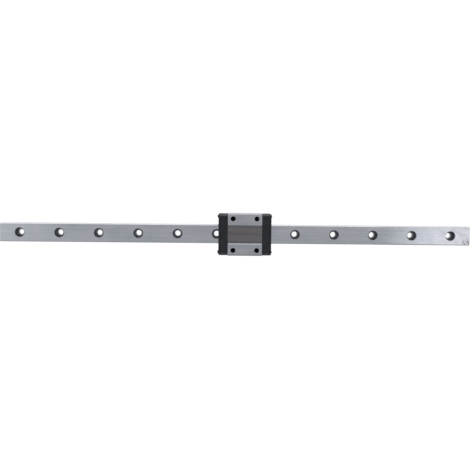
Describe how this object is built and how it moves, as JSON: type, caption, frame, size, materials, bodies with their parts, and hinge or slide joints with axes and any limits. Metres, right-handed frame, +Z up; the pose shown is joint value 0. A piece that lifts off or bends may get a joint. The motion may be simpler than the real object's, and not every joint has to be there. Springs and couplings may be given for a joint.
{
  "type": "linear guide carriage",
  "caption": "Miniature profiled linear guide: a short recirculating-ball carriage with four tapped holes on a counterbored rail.",
  "frame": {"origin": "centre of the rail's bottom face", "axes": "+X along the rail, +Y across it, +Z up out of the rail's bolted face"},
  "size_m": [0.3, 0.027, 0.013],
  "materials": {
    "rail_steel": "ground, fine grain along the rail",
    "block_steel": "ground lands, darker milled recess",
    "cap_plastic": "moulded, slightly glossy",
    "guide_plastic": "moulded",
    "seal_rubber": "matt",
    "screw_steel": "black oxide",
    "wire_steel": "drawn",
    "ball_steel": "lapped"
  },
  "bodies": {
    "rail": {"rail": "rail_steel"},
    "carriage": {"carriage_block": "block_steel", "end_cap_left": "cap_plastic", "end_cap_right": "cap_plastic", "seal_frame_left": "cap_plastic", "seal_frame_right": "cap_plastic", "seal_lip_left": "seal_rubber", "seal_lip_right": "seal_rubber", "end_screws_left": "screw_steel", "end_screws_right": "screw_steel", "return_guide_left_front": "guide_plastic", "return_guide_left_back": "guide_plastic", "return_guide_right_front": "guide_plastic", "return_guide_right_back": "guide_plastic", "retaining_wire_front": "wire_steel", "retaining_wire_back": "wire_steel", "return_balls_front": "ball_steel", "return_balls_back": "ball_steel"},
    "ball_front_1": {"ball_front_1": "ball_steel"},
    "ball_front_2": {"ball_front_2": "ball_steel"},
    "ball_front_3": {"ball_front_3": "ball_steel"},
    "ball_front_4": {"ball_front_4": "ball_steel"},
    "ball_front_5": {"ball_front_5": "ball_steel"},
    "ball_front_6": {"ball_front_6": "ball_steel"},
    "ball_front_7": {"ball_front_7": "ball_steel"},
    "ball_front_8": {"ball_front_8": "ball_steel"},
    "ball_front_9": {"ball_front_9": "ball_steel"},
    "ball_back_1": {"ball_back_1": "ball_steel"},
    "ball_back_2": {"ball_back_2": "ball_steel"},
    "ball_back_3": {"ball_back_3": "ball_steel"},
    "ball_back_4": {"ball_back_4": "ball_steel"},
    "ball_back_5": {"ball_back_5": "ball_steel"},
    "ball_back_6": {"ball_back_6": "ball_steel"},
    "ball_back_7": {"ball_back_7": "ball_steel"},
    "ball_back_8": {"ball_back_8": "ball_steel"},
    "ball_back_9": {"ball_back_9": "ball_steel"}
  },
  "joints": [
    {"name": "carriage_slide", "type": "slide", "parent": "rail", "child": "carriage", "axis": [1, 0, 0], "range_m": [-0.13795, 0.12735]},
    {"name": "ball_front_1_roll", "type": "hinge", "parent": "carriage", "child": "ball_front_1", "pos_m": [-0.00501, -0.00625, 0.0053], "axis": [0, 0, 1], "continuous": true},
    {"name": "ball_front_2_roll", "type": "hinge", "parent": "carriage", "child": "ball_front_2", "pos_m": [-0.00243, -0.00625, 0.0053], "axis": [0, 0, 1], "continuous": true},
    {"name": "ball_front_3_roll", "type": "hinge", "parent": "carriage", "child": "ball_front_3", "pos_m": [0.00015, -0.00625, 0.0053], "axis": [0, 0, 1], "continuous": true},
    {"name": "ball_front_4_roll", "type": "hinge", "parent": "carriage", "child": "ball_front_4", "pos_m": [0.00272, -0.00625, 0.0053], "axis": [0, 0, 1], "continuous": true},
    {"name": "ball_front_5_roll", "type": "hinge", "parent": "carriage", "child": "ball_front_5", "pos_m": [0.0053, -0.00625, 0.0053], "axis": [0, 0, 1], "continuous": true},
    {"name": "ball_front_6_roll", "type": "hinge", "parent": "carriage", "child": "ball_front_6", "pos_m": [0.00788, -0.00625, 0.0053], "axis": [0, 0, 1], "continuous": true},
    {"name": "ball_front_7_roll", "type": "hinge", "parent": "carriage", "child": "ball_front_7", "pos_m": [0.01045, -0.00625, 0.0053], "axis": [0, 0, 1], "continuous": true},
    {"name": "ball_front_8_roll", "type": "hinge", "parent": "carriage", "child": "ball_front_8", "pos_m": [0.01303, -0.00625, 0.0053], "axis": [0, 0, 1], "continuous": true},
    {"name": "ball_front_9_roll", "type": "hinge", "parent": "carriage", "child": "ball_front_9", "pos_m": [0.01561, -0.00625, 0.0053], "axis": [0, 0, 1], "continuous": true},
    {"name": "ball_back_1_roll", "type": "hinge", "parent": "carriage", "child": "ball_back_1", "pos_m": [-0.00501, 0.00625, 0.0053], "axis": [0, 0, 1], "continuous": true},
    {"name": "ball_back_2_roll", "type": "hinge", "parent": "carriage", "child": "ball_back_2", "pos_m": [-0.00243, 0.00625, 0.0053], "axis": [0, 0, 1], "continuous": true},
    {"name": "ball_back_3_roll", "type": "hinge", "parent": "carriage", "child": "ball_back_3", "pos_m": [0.00015, 0.00625, 0.0053], "axis": [0, 0, 1], "continuous": true},
    {"name": "ball_back_4_roll", "type": "hinge", "parent": "carriage", "child": "ball_back_4", "pos_m": [0.00272, 0.00625, 0.0053], "axis": [0, 0, 1], "continuous": true},
    {"name": "ball_back_5_roll", "type": "hinge", "parent": "carriage", "child": "ball_back_5", "pos_m": [0.0053, 0.00625, 0.0053], "axis": [0, 0, 1], "continuous": true},
    {"name": "ball_back_6_roll", "type": "hinge", "parent": "carriage", "child": "ball_back_6", "pos_m": [0.00788, 0.00625, 0.0053], "axis": [0, 0, 1], "continuous": true},
    {"name": "ball_back_7_roll", "type": "hinge", "parent": "carriage", "child": "ball_back_7", "pos_m": [0.01045, 0.00625, 0.0053], "axis": [0, 0, 1], "continuous": true},
    {"name": "ball_back_8_roll", "type": "hinge", "parent": "carriage", "child": "ball_back_8", "pos_m": [0.01303, 0.00625, 0.0053], "axis": [0, 0, 1], "continuous": true},
    {"name": "ball_back_9_roll", "type": "hinge", "parent": "carriage", "child": "ball_back_9", "pos_m": [0.01561, 0.00625, 0.0053], "axis": [0, 0, 1], "continuous": true}
  ],
  "couplings": [
    {"joint": "ball_front_1_roll", "follows": "carriage_slide", "rad_per_m": 419.99},
    {"joint": "ball_front_2_roll", "follows": "carriage_slide", "rad_per_m": 419.99},
    {"joint": "ball_front_3_roll", "follows": "carriage_slide", "rad_per_m": 419.99},
    {"joint": "ball_front_4_roll", "follows": "carriage_slide", "rad_per_m": 419.99},
    {"joint": "ball_front_5_roll", "follows": "carriage_slide", "rad_per_m": 419.99},
    {"joint": "ball_front_6_roll", "follows": "carriage_slide", "rad_per_m": 419.99},
    {"joint": "ball_front_7_roll", "follows": "carriage_slide", "rad_per_m": 419.99},
    {"joint": "ball_front_8_roll", "follows": "carriage_slide", "rad_per_m": 419.99},
    {"joint": "ball_front_9_roll", "follows": "carriage_slide", "rad_per_m": 419.99},
    {"joint": "ball_back_1_roll", "follows": "carriage_slide", "rad_per_m": -419.99},
    {"joint": "ball_back_2_roll", "follows": "carriage_slide", "rad_per_m": -419.99},
    {"joint": "ball_back_3_roll", "follows": "carriage_slide", "rad_per_m": -419.99},
    {"joint": "ball_back_4_roll", "follows": "carriage_slide", "rad_per_m": -419.99},
    {"joint": "ball_back_5_roll", "follows": "carriage_slide", "rad_per_m": -419.99},
    {"joint": "ball_back_6_roll", "follows": "carriage_slide", "rad_per_m": -419.99},
    {"joint": "ball_back_7_roll", "follows": "carriage_slide", "rad_per_m": -419.99},
    {"joint": "ball_back_8_roll", "follows": "carriage_slide", "rad_per_m": -419.99},
    {"joint": "ball_back_9_roll", "follows": "carriage_slide", "rad_per_m": -419.99}
  ]
}
